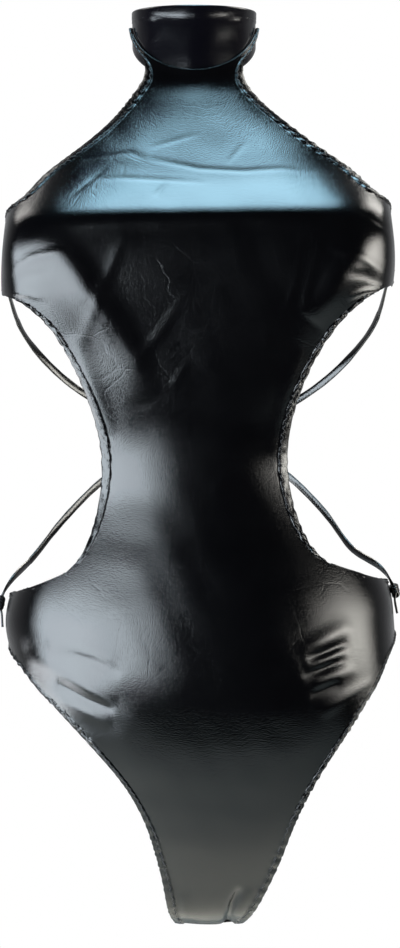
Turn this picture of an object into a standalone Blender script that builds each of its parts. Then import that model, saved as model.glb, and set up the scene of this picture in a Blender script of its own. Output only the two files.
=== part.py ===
"""A high-neck cut-out bodysuit in wet-look leathercloth, in the shape it has when worn, with no wearer.

The front is one panel from the neck seam to the crotch, wide at the bust and the hips and narrow at the
waist. A brief back closes the hips, a stand collar holds the neck, and two straps cross the open back.
The origin is the middle of the neck opening, where the wearer holds it. +Z is up and the front faces -Y.
Sizes are in millimetres and are turned to metres as each mesh is made.
"""

import math

import bmesh
import bpy
import numpy as np

MM = 0.001

# The cloth and how it is sewn
CLOTH = 1.2
HEM_THICK = 2.6
HEM_WIDE = 9.0
HEM_STEP = 1.4
SEAM_GAP = 0.3
HEM_MIDDLE = 0.45
PUCKER = 0.45
SEAM_CALM = 25.0
FOLD_ENDS = 0.7

# How finely the panels are divided
FIELD_COLUMNS = 8
ARMHOLE_ROWS = 30
WING_ROWS = 8
WING_CROWD = 1.35
CUTOUT_ROWS = 26
SEAM_ROWS = 4
LEG_ROWS = 30
BACK_LEG_ROWS = 22
BACK_SEAM_ROWS = 3
SECTION_STEPS = 241
LINE_STEPS = 4001
CUT_STEPS = 600
HALVINGS = 40
MOST_TURN = math.radians(125)

# The collar
COLLAR_RADIUS = 51.0
COLLAR_WALL = 2.0
COLLAR_TOP = 20.0
COLLAR_BACK_EDGE = -7.0
COLLAR_FRONT_DROP = 34.0
COLLAR_HEM = 10.0
COLLAR_HEM_PROUD = 0.6
COLLAR_HEM_STEP = 0.8
COLLAR_FOOT_BLEND = 0.12
COLLAR_SPOKES = 48

# The straps that cross the back
STRAP_WIDE = 6.0
STRAP_THICK = 1.6
STRAP_LIFT = 2.2
STRAP_TUCK = 12.0
STRAP_ROUND = 0.86
STRAP_CROSSING = 0.35
STRAP_STEEPER = 0.08
STRAP_TURNS = 13
STRAP_STEPS = 72
KNOT_WIDE = 12.0
KNOT_THICK = 7.0
KNOT_REACH = 6.5

# Where a strap lies over the hip's corner, its knot and its tail: how far below the corner, how far its
# middle stands off the panel and how far forward of the seam it is. Then the rows that the knot is between.
KNOT_AND_TAIL = (
    (-4, 0.8, 0),
    (4, 3.5, 1),
    (10, 3.5, 2),
    (17, 1.6, 3),
    (26, 1.2, 4),
    (35, 1.6, 5),
)
KNOT_ROWS = slice(1, 3)

# A strip's section, as shares of half its width and half its thickness, going round it
STRIP_SECTION = ((-1, -0.4), (-0.8, -1), (0.8, -1), (1, -0.4), (1, 0.4), (0.8, 1), (-0.8, 1), (-1, 0.4))

# The figure that the open back goes round, as (height, size) rows: half width, how far back, widest place
WORN_HALF = ((-460, 153), (-440, 143), (-400, 125), (-350, 118), (-300, 133), (-250, 149), (-206, 157))
WORN_BACK = ((-460, 114), (-400, 100), (-340, 94), (-280, 99), (-206, 104))
WORN_MIDDLE = ((-460, -5), (-350, -10), (-206, -33))

# The front panel's middle line, from the neck seam to the crotch seam. Each row is one section of the worn
# shape: where its middle is, how far its plane leans back from level, its half width and its depth to the
# widest point, how square it is (2 is an ellipse), how far the middle stands to +X as worn, and by how many
# degrees its +X side is the higher.
LINE_COLUMNS = ("z", "y", "lean", "half", "depth", "square", "sway", "cant")
FRONT_LINE = (
    (-33, -52.4, 42, 52.4, 70.5, 2.0, 0.0, 0.0),
    (-44, -54.5, 36, 58, 69, 2.0, 0.0, 0.0),
    (-58, -61, 28, 75, 69, 2.1, -0.2, 0.0),
    (-80, -75, 20, 110, 76, 2.2, 2.5, 0.2),
    (-105, -93, 14, 140, 86, 2.4, 4.0, 0.4),
    (-130, -110.5, 8, 151, 92.5, 2.8, 4.0, 0.8),
    (-148, -123.5, 4, 153.5, 96, 3.1, 3.7, 1.2),
    (-156, -127.8, 2, 154.5, 96.5, 3.2, 3.4, 1.3),
    (-165, -129.6, 0, 155.5, 96, 3.2, 3.3, 1.4),
    (-190, -130.4, 0, 157.5, 95.5, 3.1, 3.4, 1.5),
    (-218, -128, 0, 156.5, 94, 3.0, 2.6, 1.5),
    (-250, -120.5, 0, 149, 90, 2.8, 1.0, 1.5),
    (-290, -108, 0, 134, 84, 2.6, 0.0, 1.5),
    (-350, -92, 0, 116, 78, 2.4, 0.5, 1.6),
    (-400, -94, 0, 126, 84, 2.4, 1.5, 1.8),
    (-435, -100, 0, 145, 93, 2.4, 3.0, 2.0),
    (-458, -104, 0, 155, 98, 2.4, 4.0, 2.1),
    (-480, -107, 0, 158.5, 103, 2.45, 4.5, 2.1),
    (-500, -108, 0, 157.5, 106, 2.5, 7.0, 2.0),
    (-530, -106, 2, 157, 106, 2.5, 11.5, 1.7),
    (-560, -99, 7, 156, 103, 2.5, 16.0, 1.2),
    (-592, -88, 15, 153, 99, 2.4, 19.0, 0.7),
    (-625, -73, 26, 148, 94, 2.3, 21.0, 0.3),
    (-664, -52, 42, 140, 90, 2.2, 21.0, 0.0),
    (-700, -27, 58, 130, 85, 2.1, 18.5, 0.0),
    (-725, -5, 75, 120, 80, 2.1, 14.5, 0.0),
    (-735, 18, 93, 110, 75, 2.0, 12.5, 0.0),
)

# The brief back's middle line, from the crotch seam up
BACK_LINE = (
    (-735, 18, 93, 110, 75, 2.0, 12.5, 0.0),
    (-730, 42, 108, 118, 80, 2.0, 14.0, 0.0),
    (-713, 68, 125, 128, 88, 2.1, 17.5, 0.1),
    (-684, 92, 143, 140, 98, 2.1, 20.5, 0.2),
    (-645, 110, 158, 150, 108, 2.2, 21.0, 0.4),
    (-600, 121, 170, 155, 117, 2.3, 18.0, 0.8),
    (-560, 126, 178, 157, 124, 2.3, 14.5, 1.3),
)
# and through the hips, where its width and its widest point are the front's: height, middle, squareness
BACK_HIP = (
    (-530, 127, 2.35),
    (-505, 125, 2.4),
    (-492, 123, 2.4),
    (-480, 120, 2.4),
    (-468, 116, 2.4),
    (-456, 112, 2.4),
)

# The cut's edges as seen from the front: height, and half the width there
ARMHOLE_FRONT = (
    (-9, 48),
    (-15.5, 44.5),
    (-22, 41),
    (-30, 39.3),
    (-37, 40.0),
    (-48, 45.5),
    (-61, 55.5),
    (-75, 69),
    (-91, 87),
    (-108, 109),
    (-124, 128),
    (-139, 142),
)
CUTOUT_FRONT = (
    (-217, 143),
    (-225, 132.5),
    (-237, 119.5),
    (-253, 107.5),
    (-270, 97.5),
    (-302, 83.5),
    (-334, 75.8),
    (-351, 74.5),
    (-383, 77.5),
    (-415, 87.5),
    (-432, 98),
    (-444, 114),
    (-450, 133),
)
LEG_FRONT = (
    (-513, 149),
    (-529, 139),
    (-545, 126.5),
    (-577, 101.5),
    (-610, 78),
    (-645, 60.5),
    (-682, 48.5),
    (-710, 39.5),
)
# The brief back's leg edge, from the crotch up: how far up its middle, and how far across along the cloth.
# The last row is counted from the leg corner.
BACK_LEG = (
    (30, 32),
    (60, 41.5),
    (98, 54.5),
    (140, 76),
    (186, 112),
)
BACK_LEG_BY_CORNER = (-12, -22)
ARMHOLE_SIDE = -165
BUST_CORNER_TOP = -200
BUST_CORNER_FOOT = -212
HIP_CORNER = -456
LEG_CORNER = -497
SIDE_TURN = math.radians(90)
WING_TURN = math.radians(80)
CROTCH_HALF = 29
BACK_TOP_MIDDLE = -480

# The largest folds of the front: from and to, each as a height and a distance across from the middle, then
# the half width of the fold and how far it stands out. A negative height is a trough.
FOLD_COLUMNS = ("z0", "x0", "z1", "x1", "wide", "high")
FRONT_FOLDS = (
    (-497, -138, -519, -88, 6.5, 2.4),
    (-511, -128, -532, -92, 6.0, -2.2),
    (-520, -142, -548, -84, 6.5, 2.6),
    (-537, -126, -556, -90, 5.5, -2.0),
    (-546, -118, -569, -84, 6.0, 1.8),
    (-484, 134, -505, 92, 6.0, 2.0),
    (-496, 136, -518, 84, 6.5, -2.3),
    (-510, 140, -538, 84, 6.5, 2.6),
    (-528, 130, -552, 88, 5.5, -2.0),
    (-540, 124, -566, 82, 6.0, 2.0),
    (-250, -96, -330, -66, 7.0, 1.4),
    (-262, 84, -345, 62, 7.0, 1.2),
    (-682, 37, -719, 25, 5.0, -3.0),
)


def columns_of(rows, names):
    """A table's rows as arrays under their column names."""
    return dict(zip(names, np.array(rows, float).T))


def natural_spline(knots, values, at):
    """The smooth curve through the values, with no bend at its ends."""
    gap = np.diff(knots)
    slope = np.diff(values) / gap
    count = len(knots)
    matrix = np.eye(count)
    right = np.zeros(count)
    for i in range(1, count - 1):
        matrix[i, i - 1 : i + 2] = gap[i - 1], 2 * (gap[i - 1] + gap[i]), gap[i]
        right[i] = 6 * (slope[i] - slope[i - 1])
    bend = np.linalg.solve(matrix, right)
    at = np.asarray(at, float)
    i = np.clip(np.searchsorted(knots, at) - 1, 0, count - 2)
    before = (at - knots[i]) / gap[i]
    after = 1 - before
    curved = (after**3 - after) * bend[i] + (before**3 - before) * bend[i + 1]
    return after * values[i] + before * values[i + 1] + curved * gap[i] ** 2 / 6


class MiddleLine:
    """The sections along a panel's middle, read at any distance down it."""

    def __init__(self, rows):
        self.table = columns_of(rows, LINE_COLUMNS)
        steps = np.hypot(np.diff(self.table["z"]), np.diff(self.table["y"]))
        self.knots = np.concatenate([[0], np.cumsum(steps)])
        self.length = self.knots[-1]

    def read(self, name, down):
        return natural_spline(self.knots, self.table[name], down)

    def down_at(self, height):
        """How far down the middle a height is. Heights change one way only along either panel."""
        down = np.linspace(0, self.length, LINE_STEPS)
        heights = self.read("z", down)
        order = np.argsort(heights)
        return np.interp(height, heights[order], down[order])

    def section(self, down):
        """One section as distances along the cloth, across and inward, from its middle round its side."""
        turn = np.linspace(0, MOST_TURN, SECTION_STEPS)
        power = 2 / self.read("square", down)
        across = self.read("half", down) * np.abs(np.sin(turn)) ** power
        inward = self.read("depth", down) * (1 - np.sign(np.cos(turn)) * np.abs(np.cos(turn)) ** power)
        run = np.concatenate([[0], np.cumsum(np.hypot(np.diff(across), np.diff(inward)))])
        return turn, run, across, inward

    def point(self, down, reach):
        """The place on the worn shape that is reach along the cloth from the middle, at down."""
        turn, run, across, inward = self.section(down)
        side = np.interp(abs(reach), run, across) * np.sign(reach)
        depth = np.interp(abs(reach), run, inward)
        lean, cant = (math.radians(float(self.read(name, down))) for name in ("lean", "cant"))
        return np.array(
            [
                side + self.read("sway", down),
                self.read("y", down) + depth * math.cos(lean),
                self.read("z", down) + depth * math.sin(lean) + side * math.tan(cant),
            ]
        )

    def reach_at_turn(self, down, angle):
        """How far along the cloth the section has turned by an angle. Its widest point is at 90 degrees."""
        turn, run, across, inward = self.section(down)
        return float(np.interp(angle, turn, run))

    def cut_at(self, height, half_width):
        """(down, reach) of the point that is seen from the front at this height and half width."""
        low, high = 0.0, self.length
        for _ in range(HALVINGS):
            middle = (low + high) / 2
            turn, run, across, inward = self.section(middle)
            front_side = turn <= SIDE_TURN
            reach = np.interp(half_width, across[front_side], run[front_side])
            depth = np.interp(reach, run, inward)
            lean = math.radians(float(self.read("lean", middle)))
            if self.read("z", middle) + depth * math.sin(lean) > height:
                low = middle
            else:
                high = middle
        return middle, float(reach)


def through(points, count, crowd=1.0):
    """count + 1 points along the smooth curve through a few points of the cut.

    They are evenly spaced, or closer at its start where crowd is over 1.
    """
    points = np.array(points, float)
    knots = np.concatenate([[0], np.cumsum(np.hypot(*np.diff(points, axis=0).T))])
    fine = np.linspace(0, knots[-1], CUT_STEPS)
    curve = np.stack([natural_spline(knots, points[:, k], fine) for k in range(2)], axis=1)
    run = np.concatenate([[0], np.cumsum(np.hypot(*np.diff(curve, axis=0).T))])
    at = run[-1] * np.linspace(0, 1, count + 1) ** crowd
    return np.stack([np.interp(at, run, curve[:, k]) for k in range(2)], axis=1)


def panel_grid(line, zones, folds=(), last_middle=None):
    """The panel's middle surface as a grid of points, with how much of the wall each point has.

    zones are stretches of the cut's edge, as (points, has a hem, is fanned). Rows join the middle to the
    edge. Where they are fanned, they are evenly spaced at the middle and meet the edge nearly square. Where
    not, a row is level.
    """
    edge, hem, middle = [], [], []
    for points, is_hem, is_fanned in zones:
        start = len(edge) - 1 if edge else 0
        if edge:
            edge.pop()
            hem.pop()
        edge.extend(points)
        hem.extend([is_hem] * len(points))
        known = points[:1] if is_fanned else points[:-1]
        middle.extend((start + i, point[0]) for i, point in enumerate(known))
    middle.append((len(edge) - 1, edge[-1][0] if last_middle is None else last_middle))
    edge = np.array(edge)
    marks, downs = np.array(middle).T
    centre = np.interp(np.arange(len(edge)), marks, downs)

    places, walls, ripple = [], [], []
    for k, (down_edge, reach_edge) in enumerate(edge):
        field = np.linspace(0, reach_edge - HEM_WIDE, FIELD_COLUMNS + 1)
        strip = reach_edge - np.array([HEM_WIDE - HEM_STEP, HEM_MIDDLE * HEM_WIDE, 0.0])
        half_row = np.concatenate([field, strip])
        row = np.concatenate([-half_row[:0:-1], half_row])
        share = (np.abs(row) / reach_edge) ** 2
        down = centre[k] + (down_edge - centre[k]) * share
        places.append([line.point(d, r) for d, r in zip(down, row)])
        in_strip = np.abs(row) > reach_edge - HEM_WIDE + 0.1
        walls.append(np.where(in_strip & hem[k], 1.0, CLOTH / HEM_THICK))
        calm = np.clip(np.minimum(down, line.length - down) / SEAM_CALM, 0, 1)
        ripple.append(in_strip * hem[k] * calm * (1.0 if k % 2 else -1.0))
    places = np.array(places)
    relief = PUCKER * np.array(ripple) + fold_relief(places, folds)
    return places + outward(places) * relief[..., None], np.array(walls)


def outward(grid):
    """Unit normals of a grid whose rows go down and whose columns go to +X."""
    down = np.gradient(grid, axis=0)
    right = np.gradient(grid, axis=1)
    normal = np.cross(down, right)
    return normal / np.linalg.norm(normal, axis=2, keepdims=True)


def fold_relief(places, folds):
    """How far the folds stand out at each place of a grid, seen from the front."""
    relief = np.zeros(places.shape[:2])
    facing = places[..., (0, 2)]
    for fold in folds:
        f = dict(zip(FOLD_COLUMNS, fold))
        start = np.array([f["x0"], f["z0"]])
        along = np.array([f["x1"], f["z1"]]) - start
        length = np.hypot(*along)
        along = along / length
        offset = facing - start
        run = offset @ along / length
        beside = offset @ np.array([-along[1], along[0]])
        ends = np.clip(4 * run * (1 - run), 0, 1) ** FOLD_ENDS
        relief += f["high"] * ends * np.exp(-((beside / f["wide"]) ** 2))
    return relief


def material(name, colour, roughness, coat=0.0):
    """A Principled material in one colour."""
    made = bpy.data.materials.new(name)
    made.use_nodes = True
    shader = made.node_tree.nodes["Principled BSDF"]
    shader.inputs["Base Color"].default_value = (*colour, 1.0)
    shader.inputs["Roughness"].default_value = roughness
    shader.inputs["Coat Weight"].default_value = coat
    made.diffuse_color = (*colour, 1.0)
    return made


def grid_object(name, grid, collection, finish, ring=False):
    """A mesh object of quads through a grid of points, whose rows close on themselves if it is a ring."""
    rows, columns = grid.shape[:2]
    wrap = columns if ring else columns - 1
    faces = []
    for i in range(rows - 1):
        for j in range(wrap):
            right = (j + 1) % columns
            here, below = i * columns, (i + 1) * columns
            faces.append((here + j, below + j, below + right, here + right))
    mesh = bpy.data.meshes.new(name)
    mesh.from_pydata((grid.reshape(-1, 3) * MM).tolist(), [], faces)
    mesh.materials.append(finish)
    mesh.shade_smooth()
    made = bpy.data.objects.new(name, mesh)
    collection.objects.link(made)
    return made


def thicken(made, wall, shares=None):
    """Gives an open surface its wall, outward. shares says how much of it each point has."""
    solidify = made.modifiers.new("wall", "SOLIDIFY")
    solidify.thickness = wall * MM
    solidify.offset = 1.0
    if shares is not None:
        group = made.vertex_groups.new(name="wall")
        for index, share in enumerate(shares.ravel()):
            group.add([index], float(share), "REPLACE")
        solidify.vertex_group = group.name
    return made


def front_zones(line):
    """The front's edge, as stretches of points on the cut: armhole, corner, waist cut-out, side seam, leg."""

    def at_side(height):
        down = float(line.down_at(height))
        return down, line.reach_at_turn(down, SIDE_TURN) - SEAM_GAP / 2

    wing = (0.0, line.reach_at_turn(0.0, WING_TURN))
    bust_top, bust_foot = at_side(BUST_CORNER_TOP), at_side(BUST_CORNER_FOOT)
    armhole = [wing, *[line.cut_at(z, x) for z, x in ARMHOLE_FRONT], at_side(ARMHOLE_SIDE), bust_top]
    cutout = [bust_foot, *[line.cut_at(z, x) for z, x in CUTOUT_FRONT], at_side(HIP_CORNER)]
    leg = [at_side(LEG_CORNER), *[line.cut_at(z, x) for z, x in LEG_FRONT]]
    leg.append((line.length - SEAM_GAP / 2, CROTCH_HALF))
    seam = [at_side(z) for z in np.linspace(HIP_CORNER, LEG_CORNER, SEAM_ROWS + 1)]
    armhole = through(armhole, ARMHOLE_ROWS, WING_CROWD)
    return [
        (armhole[: WING_ROWS + 1], True, False),
        (armhole[WING_ROWS:], True, True),
        (np.array([bust_top, bust_foot]), True, True),
        (through(cutout, CUTOUT_ROWS), True, True),
        (np.array(seam), False, True),
        (through(leg, LEG_ROWS), True, True),
    ]


def make_front(collection, finish, line):
    """The front panel, one piece from neck seam to crotch seam. Its neck edge lies against the collar."""
    grid, shares = panel_grid(line, front_zones(line), FRONT_FOLDS)
    from_middle = np.hypot(grid[0, :, 0], grid[0, :, 1])
    grid[0, :, :2] *= ((COLLAR_RADIUS + SEAM_GAP) / from_middle)[:, None]
    return thicken(grid_object("front_panel", grid, collection, finish), HEM_THICK, shares)


def back_line(front):
    """The brief back's middle line. Through the hips its half width and widest point are the front's."""
    rows = list(BACK_LINE)
    for height, y, square in BACK_HIP:
        down = front.down_at(height)
        widest = front.read("y", down) + front.read("depth", down)
        half, sway, cant = (front.read(name, down) for name in ("half", "sway", "cant"))
        rows.append((height, y, 180, half, y - widest, square, sway, cant))
    return MiddleLine(rows)


def back_zones(line):
    """The brief back's edge: leg, side seam and, as the last row, the top edge."""

    def at_side(height):
        down = float(line.down_at(height))
        return down, line.reach_at_turn(down, SIDE_TURN) - SEAM_GAP / 2

    leg_corner = at_side(LEG_CORNER)
    leg = [
        (SEAM_GAP / 2, CROTCH_HALF),
        *BACK_LEG,
        np.add(leg_corner, BACK_LEG_BY_CORNER),
        leg_corner,
    ]
    seam = [at_side(z) for z in np.linspace(LEG_CORNER, HIP_CORNER, BACK_SEAM_ROWS + 1)]
    return [(through(leg, BACK_LEG_ROWS), True, True), (np.array(seam), False, True)]


def make_back(collection, finish, line, front):
    """The brief back, from crotch seam to dipping top edge. Its side seams lie against the front's."""
    top_middle = float(line.down_at(BACK_TOP_MIDDLE))
    grid, shares = panel_grid(line, back_zones(line), last_middle=top_middle)
    seam_heights = np.linspace(LEG_CORNER, HIP_CORNER, BACK_SEAM_ROWS + 1)
    for row, height in zip(grid[-1 - BACK_SEAM_ROWS :], seam_heights):
        down = float(front.down_at(height))
        reach = front.reach_at_turn(down, SIDE_TURN) - SEAM_GAP / 2
        for side, column in ((-1, 0), (1, -1)):
            row[column] = front.point(down, side * reach) + (0, SEAM_GAP, 0)
    made = grid_object("brief_back", grid[::-1], collection, finish)
    return thicken(made, HEM_THICK, shares[::-1])


def make_collar(collection, finish):
    """The stand collar, a ring of doubled cloth, deep in front, with a turned hem round its top."""
    angles = np.linspace(0, 2 * math.pi, COLLAR_SPOKES, endpoint=False)
    facing = np.cos(angles)
    forward = (facing + np.sqrt(facing**2 + COLLAR_FOOT_BLEND**2)) / 2
    foot = COLLAR_BACK_EDGE - COLLAR_FRONT_DROP * forward
    hem_foot = COLLAR_TOP - COLLAR_HEM
    inner = COLLAR_RADIUS - COLLAR_WALL
    levels = [
        (0.0, hem_foot, inner),
        (1 / 3, hem_foot, inner),
        (2 / 3, hem_foot, inner),
        (1.0, hem_foot, inner),
        (1.0, hem_foot + COLLAR_HEM_STEP, inner),
        (1.0, COLLAR_TOP, inner),
    ]
    shares = np.array([1, 1, 1, 1, 0, 0], float)
    full = COLLAR_WALL + COLLAR_HEM_PROUD
    walls = np.where(shares > 0, COLLAR_WALL / full, 1.0)
    grid = []
    for up, top, radius in levels:
        heights = foot + (top - foot) * up
        grid.append(np.stack([radius * np.sin(angles), -radius * np.cos(angles), heights], axis=1))
    grid = np.array(grid)[::-1]
    made = grid_object("collar", grid, collection, finish, ring=True)
    return thicken(made, full, np.repeat(walls[::-1, None], COLLAR_SPOKES, axis=1))


def sweep_object(name, path, facing, wide, thick, collection, finish):
    """A flat strip along a path. facing is the way its outer face looks, and wide and thick are along it."""
    along = np.gradient(path, axis=0)
    along /= np.linalg.norm(along, axis=1, keepdims=True)
    out = facing - along * np.sum(facing * along, axis=1, keepdims=True)
    out /= np.linalg.norm(out, axis=1, keepdims=True)
    across = np.cross(along, out)
    rings = []
    for side, proud in STRIP_SECTION:
        offset = across * (side * wide / 2)[:, None] + out * (proud * thick / 2)[:, None]
        rings.append(path + offset)
    grid = np.stack(rings, axis=1)
    made = grid_object(name, grid, collection, finish, ring=True)
    shape = bmesh.new()
    shape.from_mesh(made.data)
    ends = [edge for edge in shape.edges if edge.is_boundary]
    bmesh.ops.holes_fill(shape, edges=ends)
    bmesh.ops.recalc_face_normals(shape, faces=shape.faces)
    shape.to_mesh(made.data)
    shape.free()
    return made


def strap_path(front, side, over):
    """Where a strap runs: from one bust corner, round the open back, to the other side's hip corner.

    side is -1 for the strap that starts at the -X bust corner. over lifts it where it crosses the other. It
    drops faster at the sides than across the back. The result is the places it passes and the way its outer
    face looks there.
    """
    places, facing = [], []
    inside = STRAP_THICK / 2 + 4 * SEAM_GAP
    down = float(front.down_at((BUST_CORNER_TOP + BUST_CORNER_FOOT) / 2))
    edge = front.reach_at_turn(down, SIDE_TURN)
    for back_from_edge in (STRAP_TUCK, STRAP_TUCK / 2, 0.0):
        place, forward = (front.point(down, side * (edge - back_from_edge - step)) for step in (0.0, 1.0))
        outer = np.array([place[1] - forward[1], forward[0] - place[0], 0.0])
        outer *= side / np.linalg.norm(outer)
        places.append(place - inside * outer)
        facing.append(outer)
    bust = places[-1]

    seam_down = float(front.down_at(HIP_CORNER))
    hip = front.point(seam_down, -side * front.reach_at_turn(seam_down, SIDE_TURN))
    for share in np.linspace(0, 1, STRAP_TURNS + 2)[1:-1]:
        turn = math.pi * share
        dropped = share + STRAP_STEEPER * math.sin(2 * turn)
        height = bust[2] + (hip[2] - bust[2]) * dropped
        half = natural_spline(*np.array(WORN_HALF).T, height)
        deep = natural_spline(*np.array(WORN_BACK).T, height)
        middle = natural_spline(*np.array(WORN_MIDDLE).T, height)
        lift = over * math.exp(-(((turn - math.pi / 2) / STRAP_CROSSING) ** 2))
        round_side = abs(math.cos(turn)) ** STRAP_ROUND * np.sign(math.cos(turn))
        x = front.read("sway", down) * (1 - share) + side * half * round_side
        y = middle + (deep - middle + lift) * math.sin(turn) ** STRAP_ROUND
        places.append((x, y, height))
        facing.append((side * math.cos(turn) / half, math.sin(turn) / (deep - middle), 0))
    for below, stand_off, forward in KNOT_AND_TAIL:
        down = float(front.down_at(hip[2] - max(below, 0)))
        on_hip = front.point(down, -side * front.reach_at_turn(down, SIDE_TURN))
        clear = HEM_THICK + PUCKER + SEAM_GAP + stand_off
        places.append((on_hip[0] - side * clear, on_hip[1] - forward, hip[2] - below))
        facing.append((-side, 0, 0))
    return np.array(places, float), np.array(facing, float)


def make_strap(name, front, side, over, collection, finish):
    """One strap, a narrow flat strip that swells into its knot and ends in a square-cut tail."""
    places, facing = strap_path(front, side, over)
    knots = np.concatenate([[0], np.cumsum(np.linalg.norm(np.diff(places, axis=0), axis=1))])
    at = np.linspace(0, knots[-1], STRAP_STEPS + 1)
    path = np.stack([natural_spline(knots, places[:, k], at) for k in range(3)], axis=1)
    look = np.stack([np.interp(at, knots, facing[:, k]) for k in range(3)], axis=1)
    look /= np.linalg.norm(look, axis=1, keepdims=True)
    knot = knots[-len(KNOT_AND_TAIL) :][KNOT_ROWS].mean()
    swell = np.exp(-(((at - knot) / KNOT_REACH) ** 4))
    wide = STRAP_WIDE + (KNOT_WIDE - STRAP_WIDE) * swell
    thick = STRAP_THICK + (KNOT_THICK - STRAP_THICK) * swell
    return sweep_object(name, path, look, wide, thick, collection, finish)


def main():
    """Clears the scene and makes the bodysuit in a collection of its own."""
    for old in list(bpy.data.objects):
        bpy.data.objects.remove(old)
    collection = bpy.data.collections.new("bodysuit")
    bpy.context.scene.collection.children.link(collection)
    leathercloth = material("wet_look_leathercloth", (0.012, 0.013, 0.016), 0.32, 0.3)
    collar_cloth = material("collar_leathercloth", (0.010, 0.010, 0.014), 0.28, 0.3)
    front = MiddleLine(FRONT_LINE)
    make_front(collection, leathercloth, front)
    make_back(collection, leathercloth, back_line(front), front)
    make_collar(collection, collar_cloth)
    make_strap("strap_from_left", front, -1, 0.0, collection, leathercloth)
    make_strap("strap_from_right", front, 1, STRAP_LIFT, collection, leathercloth)


main()
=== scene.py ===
import math

import bpy
import numpy as np
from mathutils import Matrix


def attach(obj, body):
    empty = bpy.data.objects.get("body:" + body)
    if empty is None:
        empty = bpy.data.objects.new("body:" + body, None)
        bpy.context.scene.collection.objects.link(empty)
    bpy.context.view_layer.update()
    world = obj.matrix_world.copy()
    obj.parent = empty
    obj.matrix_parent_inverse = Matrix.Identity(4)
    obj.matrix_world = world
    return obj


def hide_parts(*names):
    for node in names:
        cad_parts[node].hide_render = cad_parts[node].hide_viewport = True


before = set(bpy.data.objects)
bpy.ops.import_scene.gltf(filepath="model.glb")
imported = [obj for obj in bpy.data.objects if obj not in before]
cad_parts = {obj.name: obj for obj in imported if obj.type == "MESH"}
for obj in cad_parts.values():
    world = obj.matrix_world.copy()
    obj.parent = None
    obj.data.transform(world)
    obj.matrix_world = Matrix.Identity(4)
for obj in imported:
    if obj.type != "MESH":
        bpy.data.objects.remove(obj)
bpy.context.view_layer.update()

# The view is straight on, level with the garment's middle and three metres from it.
VIEW_FROM = (0.0049, -3.0, -0.3615)
VIEW_LENS_MM = 137.8
FILM_HEIGHT_MM = 36.0
lens = bpy.data.cameras.new("front_view")
lens.sensor_fit = "VERTICAL"
lens.sensor_height = FILM_HEIGHT_MM
lens.lens = VIEW_LENS_MM
front_view = bpy.data.objects.new("front_view", lens)
front_view.location = VIEW_FROM
front_view.rotation_euler = (math.radians(90), 0, 0)
bpy.context.scene.collection.objects.link(front_view)
bpy.context.scene.camera = front_view


# The front panel is one piece of black stretch leathercloth from the neck seam to the crotch seam: a film
# with a pebble grain and a wet-look shine, on a thin knit. Its edges are turned in and sewn with a zigzag,
# whose pull puckers them. The sizes of the cloth are in millimetres.
MM = 0.001
CLOTH = 1.2
HEM_THICK = 2.6
HEM_WIDE = 9.0
SEAM_GAP = 0.3
NECK_RADIUS = 51.0

# How finely the worn shape and the mesh are divided. Each stretch of the cut has FINE times its rows.
FINE = 4
FIELD_COLUMNS = 84
FIELD_GAP = 1.0
ARMHOLE_ROWS = 30
WING_ROWS = 8
WING_CROWD = 1.35
CUTOUT_ROWS = 26
SEAM_ROWS = 4
LEG_ROWS = 30
LINE_STEPS = 901
TURN_STEPS = 721
CURVE_STEPS = 4000
REACH_STEP = 1.0
FARTHEST_REACH = 330.0

# How far round the worn shape is known, and how far round its side seam and the neck seam's ends are.
MOST_TURN = math.radians(125)
SIDE_TURN = math.radians(90)
WING_TURN = math.radians(80)

# One worn section in each row: height, how far forward, lean of its plane in degrees, half width, depth to
# its widest point, squareness, how far its middle stands to +X, how many degrees its +X side is turned up.
LINE_COLUMNS = ("z", "y", "lean", "half", "depth", "square", "sway", "cant")
FRONT_LINE = (
    (-33, -52.4, 42, 52.4, 70.5, 2.0, 0.0, 0.0),
    (-44, -54.5, 36, 58, 69, 2.0, 0.0, 0.0),
    (-58, -61, 28, 75, 69, 2.1, -0.2, 0.0),
    (-80, -73.7, 20, 110, 76, 2.2, 2.5, 0.2),
    (-105, -89.6, 14, 140, 86, 2.7, 4.0, 0.4),
    (-130, -107.2, 8, 151, 92.5, 3.5, 4.0, 0.8),
    (-148, -121.7, 4, 153.5, 96, 5.0, 3.7, 1.2),
    (-156, -126.0, 2, 154.5, 96.5, 5.8, 3.4, 1.3),
    (-165, -127.8, 0, 155.5, 96, 6.4, 3.3, 1.4),
    (-190, -128.6, 0, 157.5, 95.5, 6.2, 3.4, 1.5),
    (-218, -126.2, 0, 156.5, 94, 4.8, 2.6, 1.5),
    (-250, -118.4, 0, 149, 90, 3.4, 1.0, 1.5),
    (-290, -108.4, 0, 134, 84, 2.7, 0.0, 1.5),
    (-350, -92, 0, 116, 78, 2.4, 0.5, 1.6),
    (-400, -94, 0, 126, 84, 2.4, 1.5, 1.8),
    (-435, -100, 0, 145, 93, 2.4, 3.0, 2.0),
    (-458, -104, 0, 155, 98, 2.4, 4.0, 2.1),
    (-480, -107, 0, 158.5, 103, 2.45, 4.5, 2.1),
    (-500, -108, 0, 157.5, 106, 2.5, 7.0, 2.0),
    (-530, -106, 2, 157, 106, 2.5, 11.5, 1.7),
    (-560, -99, 7, 156, 103, 2.5, 16.0, 1.2),
    (-592, -88, 15, 153, 99, 2.4, 19.0, 0.7),
    (-625, -73, 26, 148, 94, 2.3, 21.0, 0.3),
    (-664, -52, 42, 140, 90, 2.2, 21.0, 0.0),
    (-700, -27, 58, 130, 85, 2.1, 18.5, 0.0),
    (-725, -5, 75, 120, 80, 2.1, 14.5, 0.0),
    (-735, 18, 93, 110, 75, 2.0, 12.5, 0.0),
)
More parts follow.
